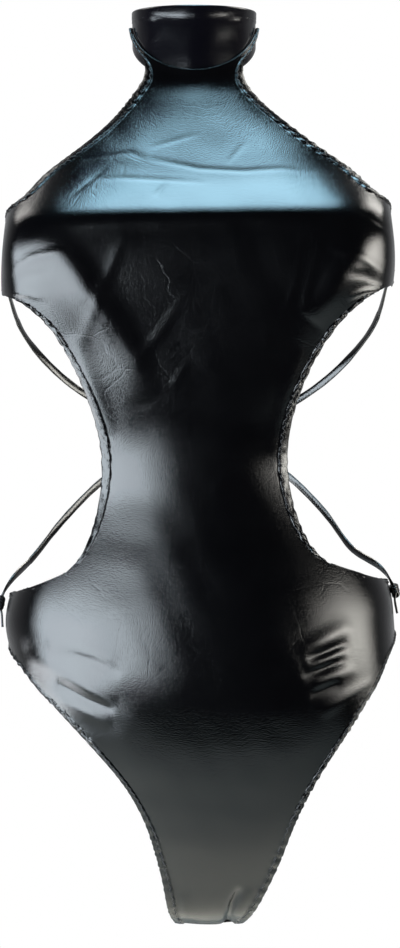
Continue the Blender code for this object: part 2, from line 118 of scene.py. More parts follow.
# The cut's edges as seen from the front: height, and half the width there.
ARMHOLE_FRONT = (
    (-9, 48),
    (-15.5, 44.5),
    (-22, 41),
    (-30, 39.3),
    (-37, 40.0),
    (-48, 45.5),
    (-61, 55.5),
    (-75, 69),
    (-91, 87),
    (-108, 109),
    (-124, 128),
    (-139, 142),
)
CUTOUT_FRONT = (
    (-217, 143),
    (-225, 132.5),
    (-237, 119.5),
    (-253, 107.5),
    (-270, 97.5),
    (-302, 83.5),
    (-334, 75.8),
    (-351, 74.5),
    (-383, 77.5),
    (-415, 87.5),
    (-432, 98),
    (-444, 114),
    (-450, 133),
)
LEG_FRONT = (
    (-513, 149),
    (-529, 139),
    (-545, 126.5),
    (-577, 101.5),
    (-610, 78),
    (-645, 60.5),
    (-682, 48.5),
    (-710, 39.5),
)
# Heights of its corners at the side, and half the width of the crotch seam.
ARMHOLE_SIDE = -165
BUST_CORNER_TOP = -200
BUST_CORNER_FOOT = -212
HIP_CORNER = -456
LEG_CORNER = -497
CROTCH_HALF = 29

# Folds and creases as seen from the front: half width, how far it stands out (negative for a trough), and
# the places across and up that it goes through.
FRONT_FOLDS = (
    # the left hip
    (7.0, 1.0, ((-118, -496), (-90, -501), (-62, -512))),
    (4.5, -1.2, ((-106, -504), (-80, -511), (-58, -522))),
    (7.5, 1.4, ((-134, -507), (-104, -520), (-62, -544))),
    (4.5, -1.8, ((-110, -529), (-86, -542), (-64, -551))),
    (6.0, 1.2, ((-110, -541), (-66, -561))),
    # the right hip
    (6.5, 1.1, ((84, -505), (104, -494), (127, -482))),
    (4.2, -1.5, ((90, -510), (106, -504), (124, -496))),
    (5.0, 0.9, ((88, -516), (122, -504))),
    (4.0, -1.4, ((86, -523), (104, -517), (122, -509))),
    (5.0, 0.9, ((95, -531), (130, -518))),
    (4.0, -1.2, ((92, -539), (117, -528))),
    (5.5, 1.1, ((100, -554), (122, -541), (146, -528))),
    # the ribs, the crest across the bust and the folds down from its sides
    (7.0, 1.4, ((-96, -250), (-66, -330))),
    (7.0, 1.2, ((84, -262), (62, -345))),
    (9.0, 1.3, ((-133, -161), (-108, -156.5), (10, -156), (115, -155.5), (143, -160))),
    (13.0, 2.6, ((-124, -166), (-97, -200), (-71, -235), (-50, -268), (-38, -302))),
    (13.0, 3.0, ((144, -162), (130, -188), (112, -212), (94, -240))),
    # the pleat at the crotch seam and its neighbours
    (4.2, -3.6, ((38, -700), (31, -716), (26, -742))),
    (4.5, 1.2, ((44, -700), (36, -728))),
    (4.0, 0.9, ((-8, -705), (-6, -730))),
    (5.0, 1.3, ((-27, -690), (-17, -730))),
    # the gathers at the bust corners
    (2.6, 0.9, ((-150, -205), (-128, -190), (-100, -184))),
    (2.4, -0.8, ((-152, -212), (-130, -204), (-112, -202))),
    (2.6, 0.8, ((-148, -216), (-131, -218), (-118, -222))),
    (2.6, 0.9, ((152, -203), (132, -189), (106, -182))),
    (2.4, -0.8, ((154, -210), (134, -203), (115, -200))),
    (2.6, 0.8, ((150, -214), (134, -216), (121, -221))),
)
FRONT_CREASES = (
    # the chest
    (1.8, -0.40, ((-91, -110), (-51, -104), (-38, -110))),
    (1.8, -0.50, ((-38, -109), (5, -118), (40, -120), (69, -118), (99, -121))),
    (1.8, -0.38, ((-88, -126), (-54, -126), (-18, -128), (11, -130))),
    (1.8, -0.40, ((-32, -142), (-21, -130))),
    (1.8, -0.30, ((-98, -141), (-69, -117))),
    (1.8, -0.25, ((-38, -101), (5, -88))),
    (1.8, -0.25, ((26, -114), (43, -94))),
    # below the bust
    (3.6, 0.42, ((-54, -170), (-75, -221), (-92, -261))),
    (3.4, 0.32, ((-11, -227), (-30, -253), (-48, -275))),
    (3.0, 0.32, ((85, -189), (78, -217), (70, -243))),
    (3.4, 0.42, ((101, -176), (90, -213), (86, -245), (85, -273))),
    (3.0, 0.28, ((56, -240), (59, -273), (61, -309))),
    (3.0, 0.28, ((-5, -273), (-18, -293))),
    (3.2, 0.28, ((30, -355), (14, -378))),
)
FOLD_ENDS = 0.7


def natural_spline(knots, values, at):
    """The smooth curve through the values, with no bend at its ends."""
    gap = np.diff(knots)
    slope = np.diff(values) / gap
    count = len(knots)
    matrix = np.eye(count)
    right = np.zeros(count)
    for i in range(1, count - 1):
        matrix[i, i - 1 : i + 2] = gap[i - 1], 2 * (gap[i - 1] + gap[i]), gap[i]
        right[i] = 6 * (slope[i] - slope[i - 1])
    bend = np.linalg.solve(matrix, right)
    i = np.clip(np.searchsorted(knots, at) - 1, 0, count - 2)
    before = (at - knots[i]) / gap[i]
    after = 1 - before
    curved = (after**3 - after) * bend[i] + (before**3 - before) * bend[i + 1]
    return after * values[i] + before * values[i + 1] + curved * gap[i] ** 2 / 6


class WornLine:
    """The worn sections along a panel's middle, as a surface read by (down, reach) along the cloth."""

    def __init__(self, rows):
        table = dict(zip(LINE_COLUMNS, np.array(rows, float).T))
        knots = np.concatenate([[0], np.cumsum(np.hypot(np.diff(table["z"]), np.diff(table["y"])))])
        self.length = knots[-1]
        self.downs = np.linspace(0, self.length, LINE_STEPS)
        self.at = {name: natural_spline(knots, table[name], self.downs) for name in LINE_COLUMNS}
        self.turn = np.linspace(0, MOST_TURN, TURN_STEPS)
        power = (2 / self.at["square"])[:, None]
        cosine = np.cos(self.turn)
        self.side = self.at["half"][:, None] * np.abs(np.sin(self.turn)) ** power
        self.deep = self.at["depth"][:, None] * (1 - np.sign(cosine) * np.abs(cosine) ** power)
        steps = np.hypot(np.diff(self.side, axis=1), np.diff(self.deep, axis=1))
        self.run = np.concatenate([np.zeros((LINE_STEPS, 1)), np.cumsum(steps, axis=1)], axis=1)
        reaches = np.arange(0, FARTHEST_REACH, REACH_STEP)
        self.across = np.array([np.interp(reaches, r, a) for r, a in zip(self.run, self.side)])
        self.inward = np.array([np.interp(reaches, r, a) for r, a in zip(self.run, self.deep)])

    def value(self, name, down):
        """One column of the sections' table, so far down the cloth."""
        return np.interp(down, self.downs, self.at[name])

    def down_at(self, height):
        """How far down the cloth a height is."""
        order = np.argsort(self.at["z"])
        return float(np.interp(height, self.at["z"][order], self.downs[order]))

    def reach_at_turn(self, down, angle):
        """How far from the middle, along the cloth, an angle round the worn shape is."""
        i = int(round(down / self.length * (LINE_STEPS - 1)))
        return float(np.interp(angle, self.turn, self.run[i]))

    def at_side(self, height):
        """(down, reach) of the side seam at a height."""
        down = self.down_at(height)
        return down, self.reach_at_turn(down, SIDE_TURN) - SEAM_GAP / 2

    def cut_at(self, height, half_width):
        """(down, reach) of the point that is seen from the front at this height and half width."""
        front = self.turn <= SIDE_TURN
        reach = np.array([np.interp(half_width, a[front], r[front]) for a, r in zip(self.side, self.run)])
        deep = np.array([np.interp(x, r, d) for x, r, d in zip(reach, self.run, self.deep)])
        heights = self.at["z"] + deep * np.sin(np.radians(self.at["lean"]))
        order = np.argsort(heights)
        down = np.interp(height, heights[order], self.downs[order])
        return float(down), float(np.interp(down, self.downs, reach))

    def places(self, down, reach):
        """The places on the worn shape, for whole arrays of down and reach."""
        i = np.clip(down / self.length * (LINE_STEPS - 1), 0, LINE_STEPS - 1.001)
        j = np.clip(np.abs(reach) / REACH_STEP, 0, self.across.shape[1] - 1.001)
        row, column = i.astype(int), j.astype(int)
        u, v = i - row, j - column

        def read(table):
            """The table's value between its four nearest entries."""
            near = table[row, column] * (1 - v) + table[row, column + 1] * v
            far = table[row + 1, column] * (1 - v) + table[row + 1, column + 1] * v
            return near * (1 - u) + far * u

        side = read(self.across) * np.sign(reach)
        deep = read(self.inward)
        lean = np.radians(self.value("lean", down))
        cant = np.radians(self.value("cant", down))
        x = side + self.value("sway", down)
        y = self.value("y", down) + deep * np.cos(lean)
        z = self.value("z", down) + deep * np.sin(lean) + side * np.tan(cant)
        return np.stack([x, y, z], axis=-1)


def through(points, count, crowd=1.0):
    """count + 1 points of the smooth curve through a few points, closer at its start if crowded."""
    points = np.array(points, float)
    knots = np.concatenate([[0], np.cumsum(np.hypot(*np.diff(points, axis=0).T))])
    fine = np.linspace(0, knots[-1], CURVE_STEPS)
    curve = np.stack([natural_spline(knots, points[:, k], fine) for k in range(2)], axis=1)
    run = np.concatenate([[0], np.cumsum(np.hypot(*np.diff(curve, axis=0).T))])
    at = run[-1] * np.linspace(0, 1, count + 1) ** crowd
    return np.stack([np.interp(at, run, curve[:, k]) for k in range(2)], axis=1)


def outward(grid):
    """Unit normals of a grid. They look to the front where its rows go down and its columns to +X."""
    normal = np.cross(np.gradient(grid, axis=0), np.gradient(grid, axis=1))
    return normal / np.linalg.norm(normal, axis=2, keepdims=True)


def crease_relief(across_and_up, creases):
    """How far the folds and creases stand out at each place, as seen from the front."""
    relief = np.zeros(across_and_up.shape[:2])
    for wide, high, points in creases:
        points = np.array(points, float)
        starts, ways = points[:-1], np.diff(points, axis=0)
        lengths = np.hypot(*ways.T)
        total, before = lengths.sum(), np.concatenate([[0], np.cumsum(lengths)])
        beside = np.full(relief.shape, np.inf)
        share = np.zeros(relief.shape)
        for start, way, length, done in zip(starts, ways, lengths, before):
            offset = across_and_up - start
            run = np.clip(offset @ way / length**2, 0, 1)
            away = np.linalg.norm(offset - run[..., None] * way, axis=-1)
            nearer = away < beside
            beside = np.where(nearer, away, beside)
            share = np.where(nearer, (done + run * length) / total, share)
        ends = np.clip(4 * share * (1 - share), 0, 1) ** FOLD_ENDS
        relief += high * ends * np.exp(-((beside / wide) ** 2))
    return relief


def uneven(seed, shortest, longest, count, *ways):
    """A smooth uneven field, mostly from -1 to 1, over one or two directions: waves of many lengths."""
    dice = np.random.default_rng(seed)
    total = 0.0
    for _ in range(count):
        length = shortest * (longest / shortest) ** dice.random()
        angle, phase = 2 * math.pi * dice.random(2)
        if len(ways) == 1:
            total = total + np.sin(2 * math.pi * ways[0] / length + phase)
        else:
            along = ways[0] * math.cos(angle) + ways[1] * math.sin(angle)
            total = total + np.sin(2 * math.pi * along / length + phase)
    return total / math.sqrt(count)


# How far from the edge the hem's mesh columns are, and the line and groove that the thread presses in.
HEM_MARKS = (9.8, 9.0, 8.2, 7.4, 6.6, 5.8, 4.8, 3.8, 2.6, 1.3)
HEM_ROUND = 1.6
STITCH_FROM_EDGE = 7.0
STITCH_SWING = 0.8
STITCH_WAVES = (9.0, 16.0, 5)
STITCH_GROOVE = 0.3
GROOVE_WIDE = 1.1

# The hem's pucker and roll, and the cloth's unevenness: how high each is, its shortest and longest wave,
# and how many waves it is made of. The two hems of a panel use different stretches of the same waves.
PUCKER = 0.62
PUCKER_WAVES = (5.5, 13.0, 7)
PUCKER_SLANT = 0.9
PUCKER_FROM_EDGE = 4.5
PUCKER_WIDE = 4.5
OTHER_HEM = 700.0
HEM_ROLL = 1.3
HEM_ROLL_BEND = 1.2
UNEVEN_HIGH = 0.10
UNEVEN_WAVES = (26.0, 120.0, 24)
SEAM_CALM = 25.0

# The rolled edge of the shell has points at these angles. Its plain face has each fourth field column.
RIM_ANGLES = np.radians((60, 30, 0, -30, -60))
INSIDE_EVERY = 4


def panel(line, zones, folds, seed, last_middle=None):
    """The panel's sheet as a fine grid, with what the wall and the stitching need to know of each place."""
    edge, hem, middle = [], [], []
    for points, is_hem, is_fanned in zones:
        start = len(edge) - 1 if edge else 0
        if edge:
            edge.pop()
            hem.pop()
        edge.extend(points)
        hem.extend([is_hem] * len(points))
        known = points[:1] if is_fanned else points[:-1]
        middle.extend((start + i, point[0]) for i, point in enumerate(known))
    middle.append((len(edge) - 1, edge[-1][0] if last_middle is None else last_middle))
    edge, hem = np.array(edge), np.array(hem, float)
    marks, downs = np.array(middle).T
    centre = np.interp(np.arange(len(edge)), marks, downs)

    field = np.linspace(0, 1, FIELD_COLUMNS + 1)[None, :] * (edge[:, 1:] - HEM_MARKS[0] - FIELD_GAP)
    strip = edge[:, 1:] - np.array((*HEM_MARKS, 0.0))
    half = np.concatenate([field, strip], axis=1)
    reach = np.concatenate([-half[:, :0:-1], half], axis=1)
    share = (np.abs(reach) / edge[:, 1:]) ** 2
    down = centre[:, None] + (edge[:, :1] - centre[:, None]) * share
    places = line.places(down, reach)
    from_edge = edge[:, 1:] - np.abs(reach)
    out = outward(places)

    side_edge = places[:, -1]
    along = np.concatenate([[0], np.cumsum(np.linalg.norm(np.diff(side_edge, axis=0), axis=1))])[:, None]
    along = along * np.ones_like(reach) + np.where(reach < 0, OTHER_HEM, 0.0)
    calm = np.clip(np.minimum(down, line.length - down) / SEAM_CALM, 0, 1)
    pucker = uneven(seed, *PUCKER_WAVES, along + PUCKER_SLANT * from_edge)
    near_hem = np.exp(-(((from_edge - PUCKER_FROM_EDGE) / PUCKER_WIDE) ** 2))
    relief = PUCKER * pucker * near_hem * hem[:, None] * calm
    rolled = np.clip(1 - from_edge / HEM_WIDE, 0, 1) ** HEM_ROLL_BEND
    relief -= HEM_ROLL * rolled * hem[:, None] * calm
    relief += crease_relief(places[..., (0, 2)], folds)
    relief += UNEVEN_HIGH * uneven(seed + 1, *UNEVEN_WAVES, reach, down) * calm
    places = places + out * relief[..., None]
    out = outward(places)
    return {"places": places, "out": out, "from_edge": from_edge, "along": along, "hem": hem, "seed": seed}


def wall_of(made):
    """How thick the cloth is at each place: doubled at the hem, and pressed in along the stitching."""
    from_edge, hem = made["from_edge"], made["hem"][:, None]
    rise = np.clip((HEM_WIDE - from_edge) / HEM_ROUND, 0, 1)
    rise = rise * rise * (3 - 2 * rise)
    stitch = STITCH_FROM_EDGE + STITCH_SWING * uneven(made["seed"] + 2, *STITCH_WAVES, made["along"])
    groove = np.exp(-(((from_edge - stitch) / GROOVE_WIDE) ** 2))
    return CLOTH + hem * ((HEM_THICK - CLOTH) * rise - STITCH_GROOVE * groove)


def mesh_object(name, points, faces, finish):
    """A smooth mesh object from points in millimetres."""
    mesh = bpy.data.meshes.new(name)
    mesh.from_pydata((np.asarray(points) * MM).tolist(), [], faces)
    mesh.materials.append(finish)
    mesh.shade_smooth()
    made = bpy.data.objects.new(name, mesh)
    bpy.context.scene.collection.objects.link(made)
    return made


def ring_faces(count, size, closed=False, start=0):
    """The faces between each ring of points and the next, and from the last to the first if closed."""
    faces = []
    for k in range(count if closed else count - 1):
        here, after = start + k * size, start + (k + 1) % count * size
        for j in range(size):
            beside = (j + 1) % size
            faces.append((here + j, here + beside, after + beside, after + j))
    return faces


def shell(name, made, finish):
    """The panel's cloth as a closed shell: a face with the hem, a plain face and a rolled edge between."""
    places, out = made["places"], made["out"]
    wall = wall_of(made)
    rows, columns = places.shape[:2]
    outer = np.arange(1, columns - 1)
    middle = columns // 2
    field = np.arange(middle, middle + FIELD_COLUMNS, INSIDE_EVERY)
    strip = np.arange(middle + FIELD_COLUMNS, columns - 1, 2)
    right = np.unique(np.concatenate([field, strip, [columns - 2]]))
    inner = np.concatenate([2 * middle - right[:0:-1], right])
    top = places[:, outer] + out[:, outer] * wall[:, outer, None]
    under = places[:, inner]

    def rim(edge, beside, angles):
        """The rolled edge's points, row by row."""
        radius = wall[:, beside, None] / 2
        way = places[:, edge] - places[:, beside]
        points = []
        for angle in angles:
            lift = radius * (1 + math.sin(angle))
            points.append(places[:, beside] + way * math.cos(angle) + out[:, beside] * lift)
        return np.stack(points, axis=1)

    right_rim = rim(columns - 1, columns - 2, RIM_ANGLES)
    left_rim = rim(0, 1, RIM_ANGLES[::-1])
    ring = np.concatenate([top, right_rim, under[:, ::-1], left_rim], axis=1)
    size = ring.shape[1]

    faces = [(a, d, c, b) for a, b, c, d in ring_faces(rows, size)]
    last_inner = len(outer) + len(RIM_ANGLES) + len(inner) - 1
    inner_place = {column: last_inner - i for i, column in enumerate(inner)}
    for first, base in ((True, 0), (False, (rows - 1) * size)):
        for a, b in zip(inner[:-1], inner[1:]):
            cap = [base + j - 1 for j in range(a, b + 1)] + [base + inner_place[b], base + inner_place[a]]
            faces.append(cap if first else cap[::-1])
        right_cap = [base + j for j in range(len(outer) - 1, len(outer) + len(RIM_ANGLES) + 1)]
        left_cap = [base + j for j in range(size - len(RIM_ANGLES) - 1, size)] + [base]
        faces.append(right_cap if first else right_cap[::-1])
        faces.append(left_cap if first else left_cap[::-1])
    return mesh_object(name, ring.reshape(-1, 3), faces, finish)


def new_group(name, inputs, outputs):
    """An empty shader node group with its named inputs and outputs."""
    group = bpy.data.node_groups.new(name, "ShaderNodeTree")
    for in_out, labels in (("INPUT", inputs), ("OUTPUT", outputs)):
        for label in labels:
            group.interface.new_socket(label, in_out=in_out, socket_type="NodeSocketFloat")
    return group, group.nodes.new("NodeGroupInput"), group.nodes.new("NodeGroupOutput")


def feed(tree, node, inputs):
    """Gives a node's inputs plain values, or links them to the outputs of other nodes."""
    for label, value in inputs.items():
        if isinstance(value, bpy.types.NodeSocket):
            tree.links.new(value, node.inputs[label])
        else:
            node.inputs[label].default_value = value


def shader_node(tree, kind, inputs, **settings):
    """A shader node of one kind, with its settings and inputs."""
    node = tree.nodes.new("ShaderNode" + kind)
    for label, value in settings.items():
        setattr(node, label, value)
    feed(tree, node, inputs)
    return node


def on_piece(tree):
    """The place of each point on its piece."""
    return shader_node(tree, "TexCoord", {}).outputs["Object"]


def math_node(tree, operation, *values):
    """The result of a math node for sockets and plain numbers."""
    return shader_node(tree, "Math", dict(enumerate(values)), operation=operation).outputs[0]


def noise_node(tree, where, scale, detail=2.0, roughness=0.5):
    """A soft noise from 0 to 1."""
    inputs = {"Vector": where, "Scale": scale, "Detail": detail, "Roughness": roughness}
    return shader_node(tree, "TexNoise", inputs).outputs["Fac"]


def wander(tree, where, scale, far):
    """Places shifted by a soft noise, so that a pattern drawn at them is uneven."""
    noise = shader_node(tree, "TexNoise", {"Vector": where, "Scale": scale})
    inputs = {0: noise.outputs["Color"], 1: (far, far, far), 2: where}
    return shader_node(tree, "VectorMath", inputs, operation="MULTIPLY_ADD").outputs[0]


# The embossed pebble grain of the film: rounded cells with narrow valleys, uneven in size, with fine pits.
grain, grain_in, grain_out = new_group("pebble_grain", ("Cells per metre", "Pitting"), ("Height",))
grain_at = on_piece(grain)
cells = shader_node(
    grain,
    "TexVoronoi",
    {
        "Vector": wander(grain, grain_at, 260.0, 0.0007),
        "Scale": grain_in.outputs["Cells per metre"],
        "Smoothness": 0.35,
    },
    feature="SMOOTH_F1",
)
rounded = math_node(grain, "SUBTRACT", 1.0, cells.outputs["Distance"])
pits = noise_node(grain, grain_at, 1900.0, 3.0)
pitted = math_node(grain, "MULTIPLY", pits, grain_in.outputs["Pitting"])
feed(grain, grain_out, {"Height": math_node(grain, "ADD", rounded, pitted)})

# The hair-fine creases that stretching leaves in the film, thin lines that come and go.
crackle, crackle_in, crackle_out = new_group("stretch_creases", ("Creases per metre",), ("Height",))
crackle_at = on_piece(crackle)
lines = shader_node(
    crackle,
    "TexVoronoi",
    {
        "Vector": wander(crackle, crackle_at, 22.0, 0.05),
        "Scale": crackle_in.outputs["Creases per metre"],
    },
    feature="DISTANCE_TO_EDGE",
)
thin = math_node(crackle, "DIVIDE", lines.outputs["Distance"], 0.035)
thin = math_node(crackle, "SUBTRACT", 1.0, thin)
thin = math_node(crackle, "MAXIMUM", thin, 0.0)
patch = math_node(crackle, "SUBTRACT", noise_node(crackle, crackle_at, 17.0), 0.45)
patch = math_node(crackle, "MULTIPLY", patch, 6.0)
patch = math_node(crackle, "MAXIMUM", patch, 0.0)
patch = math_node(crackle, "MINIMUM", patch, 1.0)
creased = math_node(crackle, "MULTIPLY", thin, patch)
feed(crackle, crackle_out, {"Height": math_node(crackle, "MULTIPLY", creased, -1.0)})


def leathercloth(name, dark, light, rough, rough_swing, pebbles, grain_deep, creases, crease_deep):
    """Black film on knit: colour and gloss that vary a little, pebble grain, pits and fine creases."""
    made = bpy.data.materials.new(name)
    made.use_nodes = True
    made.diffuse_color = (*dark, 1)
    tree = made.node_tree
    clouds = noise_node(tree, on_piece(tree), 28.0, 4.0, 0.6)
    gloss = {"Value": clouds, "From Min": 0.3, "From Max": 0.7}
    gloss.update({"To Min": rough - rough_swing, "To Max": rough + rough_swing})
    pebble = shader_node(tree, "Group", pebbles, node_tree=grain).outputs["Height"]
    tones = {"A": (*dark, 1), "B": (*light, 1), "Factor": math_node(tree, "MULTIPLY", pebble, clouds)}
    crease = shader_node(tree, "Group", creases, node_tree=crackle).outputs["Height"]
    creased = shader_node(tree, "Bump", {"Height": crease, "Distance": crease_deep}).outputs["Normal"]
    grained = shader_node(tree, "Bump", {"Height": pebble, "Distance": grain_deep, "Normal": creased})
    film = {
        "Base Color": shader_node(tree, "Mix", tones, data_type="RGBA").outputs["Result"],
        "Roughness": shader_node(tree, "MapRange", gloss).outputs["Result"],
        "Normal": grained.outputs["Normal"],
    }
    feed(tree, tree.nodes["Principled BSDF"], film)
    return made


panel_cloth = leathercloth(
    "wet_look_leathercloth",
    dark=(0.0004, 0.0004, 0.0006),
    light=(0.0010, 0.0010, 0.0013),
    rough=0.15,
    rough_swing=0.02,
    pebbles={"Cells per metre": 1000.0, "Pitting": 0.3},
    grain_deep=0.00009,
    creases={"Creases per metre": 26.0},
    crease_deep=0.00005,
)


def front_zones(line):
    """The front's edge as stretches of points: armhole, bust corner, waist cut-out, side seam and leg."""
    wing = (0.0, line.reach_at_turn(0.0, WING_TURN))
    bust_top, bust_foot = line.at_side(BUST_CORNER_TOP), line.at_side(BUST_CORNER_FOOT)
    armhole = [wing, *[line.cut_at(z, x) for z, x in ARMHOLE_FRONT], line.at_side(ARMHOLE_SIDE), bust_top]
    cutout = [bust_foot, *[line.cut_at(z, x) for z, x in CUTOUT_FRONT], line.at_side(HIP_CORNER)]
    leg = [line.at_side(LEG_CORNER), *[line.cut_at(z, x) for z, x in LEG_FRONT]]
    leg.append((line.length - SEAM_GAP / 2, CROTCH_HALF))
    seam = [line.at_side(z) for z in np.linspace(HIP_CORNER, LEG_CORNER, FINE * SEAM_ROWS + 1)]
    armhole = through(armhole, FINE * ARMHOLE_ROWS, WING_CROWD)
    return [
        (armhole[: FINE * WING_ROWS + 1], True, False),
        (armhole[FINE * WING_ROWS :], True, True),
        (np.linspace(bust_top, bust_foot, FINE + 1), True, True),
        (through(cutout, FINE * CUTOUT_ROWS), True, True),
        (np.array(seam), False, True),
        (through(leg, FINE * LEG_ROWS), True, True),
    ]


# The thread. A stitch goes from one of two mesh columns to the other. Its shape is given by shares of its
# length, each with how far it stands over the cloth there.
THREAD_RADIUS = 0.42
THREAD_SIDES = 5
STITCH_LONG = 3.0
STITCH_FREE_END = 1.0
STITCH_COLUMNS = (5, 8)
STITCH_SHAPE = ((0.0, -0.55), (0.2, 0.12), (0.8, 0.12), (1.0, -0.55))

thread = bpy.data.materials.new("matt_thread")
thread.use_nodes = True
spun = thread.node_tree
strands = noise_node(spun, on_piece(spun), 2600.0)
twisted = shader_node(spun, "Bump", {"Height": strands, "Distance": 0.0001}).outputs["Normal"]
dull = {"Base Color": (0.006, 0.006, 0.008, 1), "Roughness": 0.6, "Normal": twisted}
feed(spun, spun.nodes["Principled BSDF"], dull)


def threads(name, slot, ends, out):
    """Stitches of matt thread: each is a short round strand that dips into the cloth at both ends."""
    ends, out = np.array(ends), np.array(out)
    points, faces = [], []
    round_it = np.linspace(0, 2 * math.pi, THREAD_SIDES, endpoint=False)
    for (start, stop), up in zip(ends, out):
        way = (stop - start) / np.linalg.norm(stop - start)
        up = up - way * (up @ way)
        up /= np.linalg.norm(up)
        beside = np.cross(way, up)
        first = len(points)
        for share, high in STITCH_SHAPE:
            middle = start + (stop - start) * share + up * high
            ring = np.outer(np.cos(round_it), beside) + np.outer(np.sin(round_it), up)
            points.extend(middle + THREAD_RADIUS * ring)
        faces.extend(ring_faces(len(STITCH_SHAPE), THREAD_SIDES, start=first))
        last = first + (len(STITCH_SHAPE) - 1) * THREAD_SIDES
        faces.append(tuple(first + j for j in reversed(range(THREAD_SIDES))))
        faces.append(tuple(last + j for j in range(THREAD_SIDES)))
    made = mesh_object(name, points, faces, thread)
    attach(made, "root")
    return made


def zigzag(made):
    """The ends and outward ways of the zigzag stitches along both hems of a panel."""
    top = made["places"] + made["out"] * wall_of(made)[..., None]
    ends, out = [], []
    hemmed = np.concatenate([[0], (made["hem"] > 0.5).astype(int), [0]])
    starts = np.flatnonzero(np.diff(hemmed) == 1)
    stops = np.flatnonzero(np.diff(hemmed) == -1) - 1
    for side in (-1, 1):
        columns = [-1 - c if side > 0 else c for c in STITCH_COLUMNS]
        steps = np.linalg.norm(np.diff(top[:, columns[0]], axis=0), axis=1)
        run = np.concatenate([[0], np.cumsum(steps)])
        for first, last in zip(starts, stops):
            at = np.arange(run[first] + STITCH_FREE_END, run[last] - STITCH_FREE_END, STITCH_LONG)
            rows = np.interp(at, run[first : last + 1], np.arange(first, last + 1))
            row = np.minimum(rows.astype(int), last - 1)
            part = (rows - row)[:, None]
            column = np.array([columns[k % 2] for k in range(len(at))])
            place = top[row, column] * (1 - part) + top[row + 1, column] * part
            ends.extend(np.stack([place[:-1], place[1:]], axis=1))
            out.extend(made["out"][row[:-1], column[:-1]])
    return ends, out


front_line = WornLine(FRONT_LINE)
front = panel(front_line, front_zones(front_line), FRONT_FOLDS + FRONT_CREASES, seed=11)

# Its neck edge runs round the collar, a seam's gap outside it.
from_neck = np.hypot(front["places"][0, :, 0], front["places"][0, :, 1])
front["places"][0, :, :2] *= ((NECK_RADIUS + SEAM_GAP) / from_neck)[:, None]
front_panel = shell("front_panel_cloth", front, panel_cloth)
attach(front_panel, "root")
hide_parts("front_panel")
front_stitches = threads("front_hem_stitches", "panel_cloth", *zigzag(front))


# The brief back is a second piece of the same cloth. It closes the hips from the crotch seam up over the
# seat, and its top edge dips in the middle. Its two short side seams join it to the front at the hips.
BACK_LEG_ROWS = 22
BACK_SEAM_ROWS = 3
BACK_TOP_MIDDLE = -480
BACK_LINE = (
    (-735, 18, 93, 110, 75, 2.0, 12.5, 0.0),
    (-730, 42, 108, 118, 80, 2.0, 14.0, 0.0),
    (-713, 68, 125, 128, 88, 2.1, 17.5, 0.1),
    (-684, 92, 143, 140, 98, 2.1, 20.5, 0.2),
    (-645, 110, 158, 150, 108, 2.2, 21.0, 0.4),
    (-600, 121, 170, 155, 117, 2.3, 18.0, 0.8),
    (-560, 126, 178, 157, 124, 2.3, 14.5, 1.3),
)
# Through the hips its width and its widest point are the front's: height, how far back, squareness.
FACING_BACK = 180
BACK_HIP = (
    (-530, 127, 2.35),
    (-505, 125, 2.4),
    (-492, 123, 2.4),
    (-480, 120, 2.4),
    (-468, 116, 2.4),
    (-456, 112, 2.4),
)
# Its leg edge: how far along the cloth from the crotch seam, and half the width there. Its last point is
# measured from the corner at the side seam.
BACK_LEG = ((30, 32), (60, 41.5), (98, 54.5), (140, 76), (186, 112))
BACK_LEG_BY_CORNER = (-12, -22)
# Its folds at the left side, at the right side and in the middle.
BACK_FOLDS = (
    (6.5, 2.0, ((-128, -505), (-84, -528))),
    (6.0, -1.8, ((-130, -522), (-80, -546))),
    (6.5, 2.2, ((-122, -538), (-76, -566))),
    (6.0, 1.8, ((136, -500), (92, -520))),
    (6.5, -2.0, ((138, -512), (84, -540))),
    (6.0, 2.0, ((130, -530), (88, -558))),
    (3.0, 0.6, ((-40, -486), (-30, -540), (-26, -575))),
    (3.0, 0.5, ((52, -486), (46, -530), (40, -560))),
    (3.5, -0.7, ((-20, -690), (4, -650), (10, -610))),
)


def back_rows(front_line):
    """The brief back's worn sections: its own rows, then those that share the front's width."""
    rows = list(BACK_LINE)
    for height, y, square in BACK_HIP:
        down = front_line.down_at(height)
        widest = front_line.value("y", down) + front_line.value("depth", down)
        half, sway, cant = (front_line.value(name, down) for name in ("half", "sway", "cant"))
        rows.append((height, y, FACING_BACK, half, y - widest, square, sway, cant))
    return rows


back_line = WornLine(back_rows(front_line))
leg_corner = back_line.at_side(LEG_CORNER)
back_leg = [(SEAM_GAP / 2, CROTCH_HALF), *BACK_LEG, np.add(leg_corner, BACK_LEG_BY_CORNER), leg_corner]
seam_heights = np.linspace(LEG_CORNER, HIP_CORNER, FINE * BACK_SEAM_ROWS + 1)
back_zones = [
    (through(back_leg, FINE * BACK_LEG_ROWS), True, True),
    (np.array([back_line.at_side(z) for z in seam_heights]), False, True),
]
back = panel(back_line, back_zones, BACK_FOLDS, seed=31, last_middle=back_line.down_at(BACK_TOP_MIDDLE))

# Its side seams run along the front's, a seam's gap behind them.
for row, height in zip(back["places"][-len(seam_heights) :], seam_heights):
    down = front_line.down_at(height)
    reach = front_line.reach_at_turn(down, SIDE_TURN) - SEAM_GAP / 2
    for side, columns in ((-1, (0, 1)), (1, (-1, -2))):
        target = front_line.places(np.array(down), np.array(side * reach)) + (0, SEAM_GAP, 0)
        step = target - row[columns[0]]
        row[columns[0]] += step
        row[columns[1]] += step

# Its rows run up from the crotch. They are turned to run down, and its wall is laid on the inner side.
for name in ("places", "from_edge", "along", "hem"):
    back[name] = back[name][::-1]
back["out"] = outward(back["places"])
brief_back = shell("brief_back_cloth", back, panel_cloth)
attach(brief_back, "root")
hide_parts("brief_back")
back_stitches = threads("back_hem_stitches", "panel_cloth", *zigzag(back))


